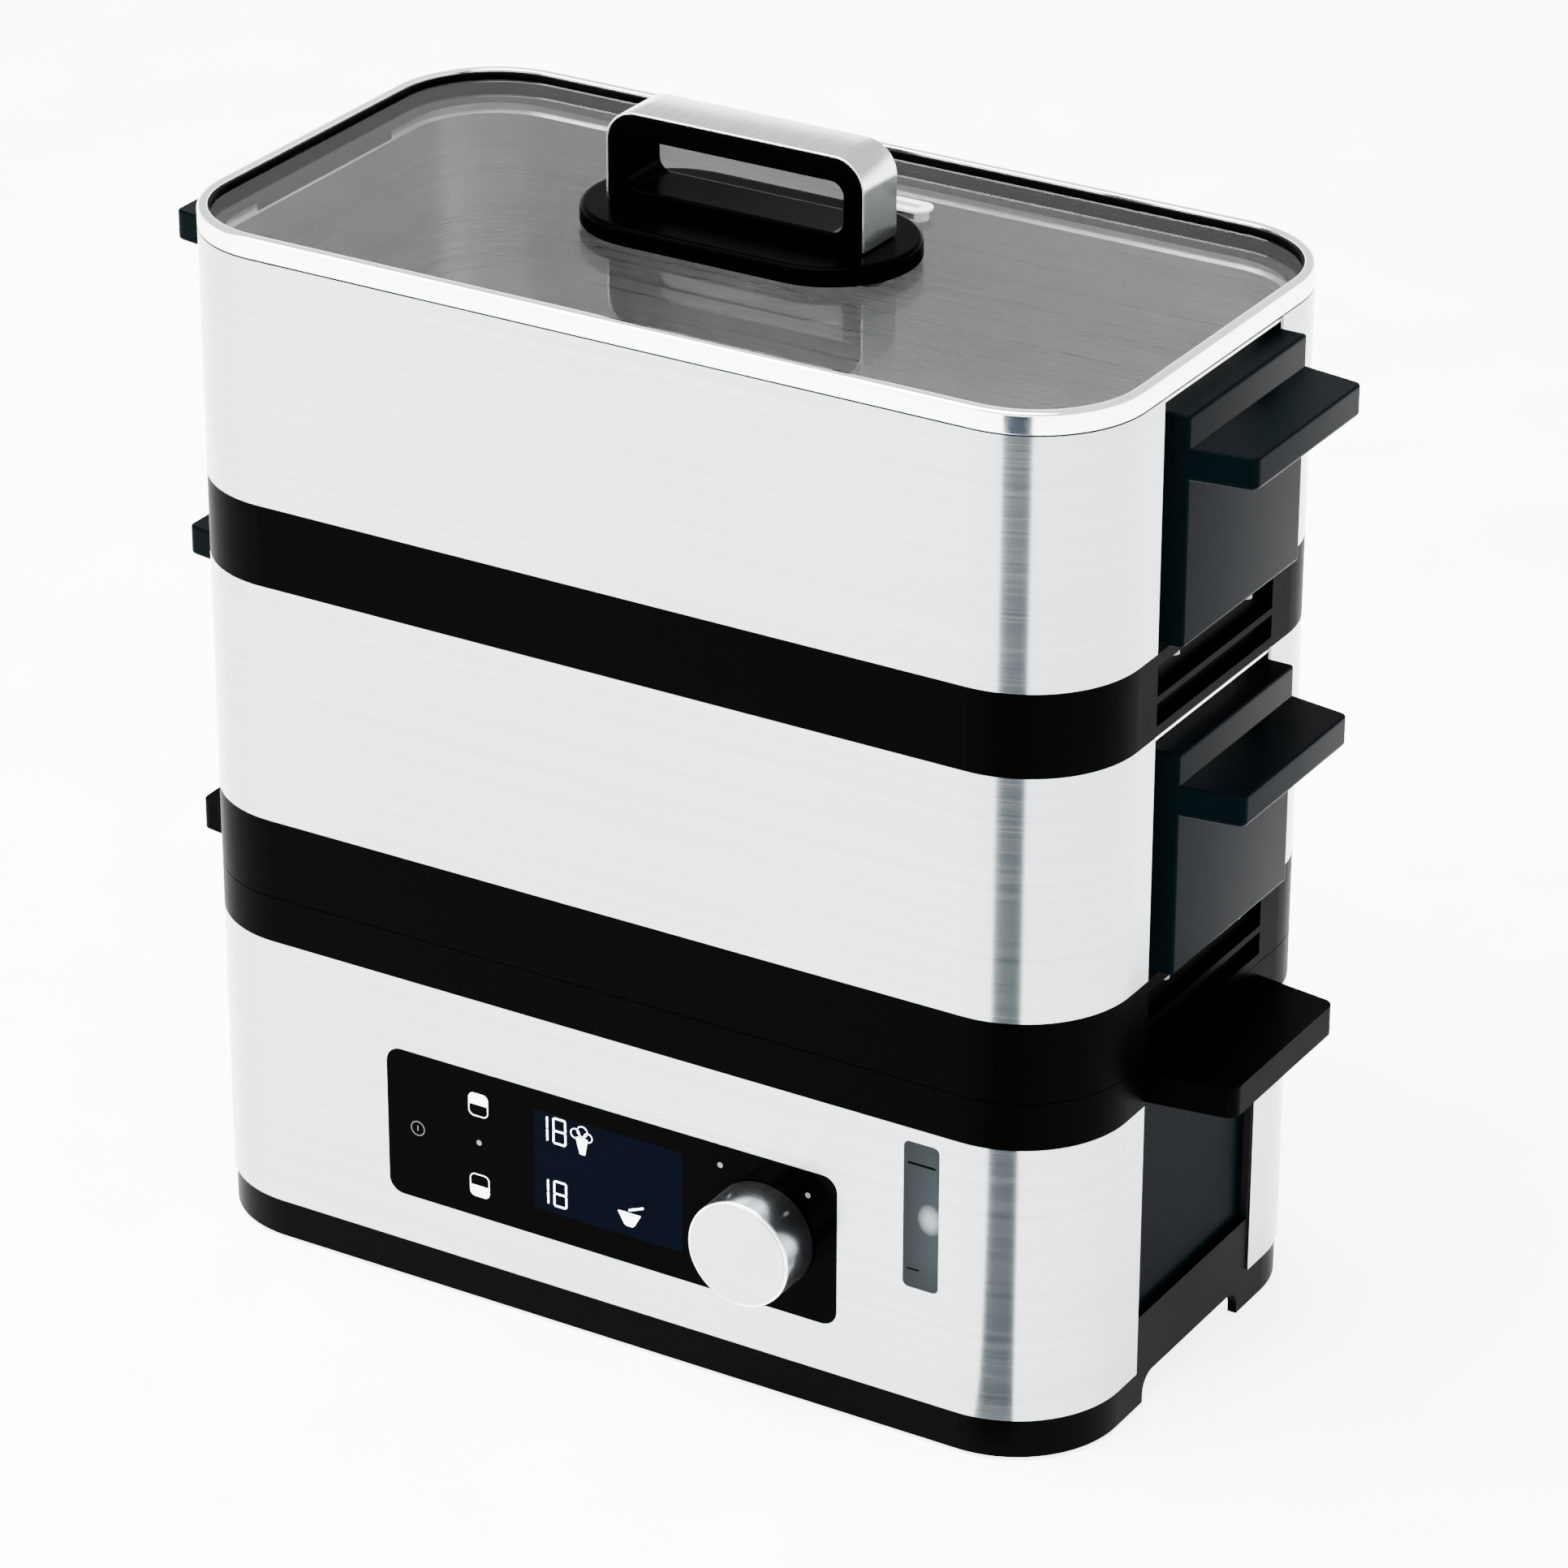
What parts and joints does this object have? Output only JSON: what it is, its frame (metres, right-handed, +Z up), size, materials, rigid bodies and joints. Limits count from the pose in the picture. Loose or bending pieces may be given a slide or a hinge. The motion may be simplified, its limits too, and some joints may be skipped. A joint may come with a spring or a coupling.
{
  "type": "electric food steamer",
  "caption": "Electric food steamer with stacked lift-off tiers, perforated trays, a glass lid with a bar handle and a heated water base with a dial and display.",
  "frame": {"origin": "centre of the bounding box in plan, at the height of the table the rubber feet stand on", "axes": "+Z up along the stack, +X to the right along the long side, -Y out of the front with the dial and display"},
  "size_m": [0.3632, 0.1838, 0.3636],
  "materials": {
    "foot_plastic": "fine grained",
    "floor_plastic": "matt",
    "foot_rubber": "matt",
    "screw_steel": "zinc plated",
    "housing_plastic": "matt",
    "shell_steel": "brushed along the body",
    "trim_plastic": "satin black",
    "end_plastic": "satin black",
    "panel_gloss": "high gloss black",
    "display_glass": "tinted display window",
    "display_body": "matt",
    "key_gloss": "high gloss black",
    "indicator_white": "clear white",
    "board_green": "lacquered",
    "encoder_metal": "satin",
    "gauge_clear": "smoked",
    "gauge_body": "smoked",
    "liner_steel": "satin",
    "ring_plastic": "matt",
    "heater_alu": "die cast",
    "seal_silicone": "matt",
    "element_alu": "oxidised",
    "thermostat_body": "ceramic",
    "gland_rubber": "matt",
    "knob_metal": "turned and satin",
    "knob_plastic": "matt",
    "float_white": "white",
    "tray_plastic": "matt",
    "rim_polished": "polished",
    "lid_glass": "clear",
    "lid_silicone": "matt",
    "handle_plastic": "satin black",
    "strip_steel": "brushed",
    "washer_silicone": "matt",
    "vent_white": "white",
    "block_plastic": "satin black",
    "steam_tray_steel": "satin"
  },
  "bodies": {
    "base": {"foot_skirt": "foot_plastic", "bottom_plate": "floor_plastic", "rubber_feet": "foot_rubber", "bottom_screws": "screw_steel", "base_chassis": "housing_plastic", "base_sleeve_front": "shell_steel", "base_sleeve_back": "shell_steel", "base_collar": "trim_plastic", "end_panel_left": "end_plastic", "end_panel_right": "end_plastic", "control_panel": "panel_gloss", "lcd_window": "display_glass", "display_module": "display_body", "touch_keys": "key_gloss", "indicator_lights": "indicator_white", "control_board": "board_green", "rotary_encoder": "encoder_metal", "gauge_window": "gauge_clear", "gauge_tube": "gauge_body", "water_reservoir": "liner_steel", "turbo_ring": "ring_plastic", "heater_plate": "heater_alu", "heater_seal": "seal_silicone", "heating_element": "element_alu", "thermostat": "thermostat_body", "cable_gland": "gland_rubber"},
    "dial": {"control_knob": "knob_metal", "knob_core": "knob_plastic", "knob_shaft": "screw_steel"},
    "float": {"gauge_float": "float_white"},
    "drip": {"drip_tray": "tray_plastic"},
    "lower_tier": {"lower_sleeve_front": "shell_steel", "lower_sleeve_back": "shell_steel", "lower_liner": "liner_steel", "lower_skirt": "trim_plastic", "lower_block_left": "block_plastic", "lower_block_right": "block_plastic", "lower_gasket": "lid_silicone", "lower_screws": "screw_steel"},
    "lower_basket": {"lower_tray": "steam_tray_steel"},
    "upper_tier": {"upper_sleeve_front": "shell_steel", "upper_sleeve_back": "shell_steel", "upper_liner": "liner_steel", "upper_skirt": "trim_plastic", "upper_block_left": "block_plastic", "upper_block_right": "block_plastic", "upper_gasket": "lid_silicone", "upper_screws": "screw_steel"},
    "upper_basket": {"upper_tray": "steam_tray_steel"},
    "lid": {"lid_rim": "rim_polished", "lid_glass": "lid_glass", "lid_seal": "lid_silicone", "handle_plate": "handle_plastic", "handle_frame": "handle_plastic", "handle_cover": "strip_steel", "handle_screws": "screw_steel", "handle_washers": "washer_silicone", "vent_grommet": "vent_white"}
  },
  "joints": [
    {"name": "dial_turn", "type": "hinge", "parent": "base", "child": "dial", "pos_m": [0.0543, -0.0844, 0.0549], "axis": [0, -1, 0], "continuous": true},
    {"name": "float_rise", "type": "slide", "parent": "base", "child": "float", "axis": [0, 0, 1], "range_m": [-0.019, 0.02]},
    {"name": "drip_tray_lift", "type": "slide", "parent": "base", "child": "drip", "axis": [0, 0, 1], "range_m": [0, 0.008]},
    {"name": "lower_tier_lift", "type": "slide", "parent": "base", "child": "lower_tier", "axis": [0, 0, 1], "range_m": [0, 0.11]},
    {"name": "lower_tray_lift", "type": "slide", "parent": "lower_tier", "child": "lower_basket", "axis": [0, 0, 1], "range_m": [0, 0.08]},
    {"name": "upper_tier_lift", "type": "slide", "parent": "lower_tier", "child": "upper_tier", "axis": [0, 0, 1], "range_m": [0, 0.11]},
    {"name": "upper_tray_lift", "type": "slide", "parent": "upper_tier", "child": "upper_basket", "axis": [0, 0, 1], "range_m": [0, 0.08]},
    {"name": "lid_lift", "type": "slide", "parent": "upper_tier", "child": "lid", "axis": [0, 0, 1], "range_m": [0, 0.12]}
  ]
}
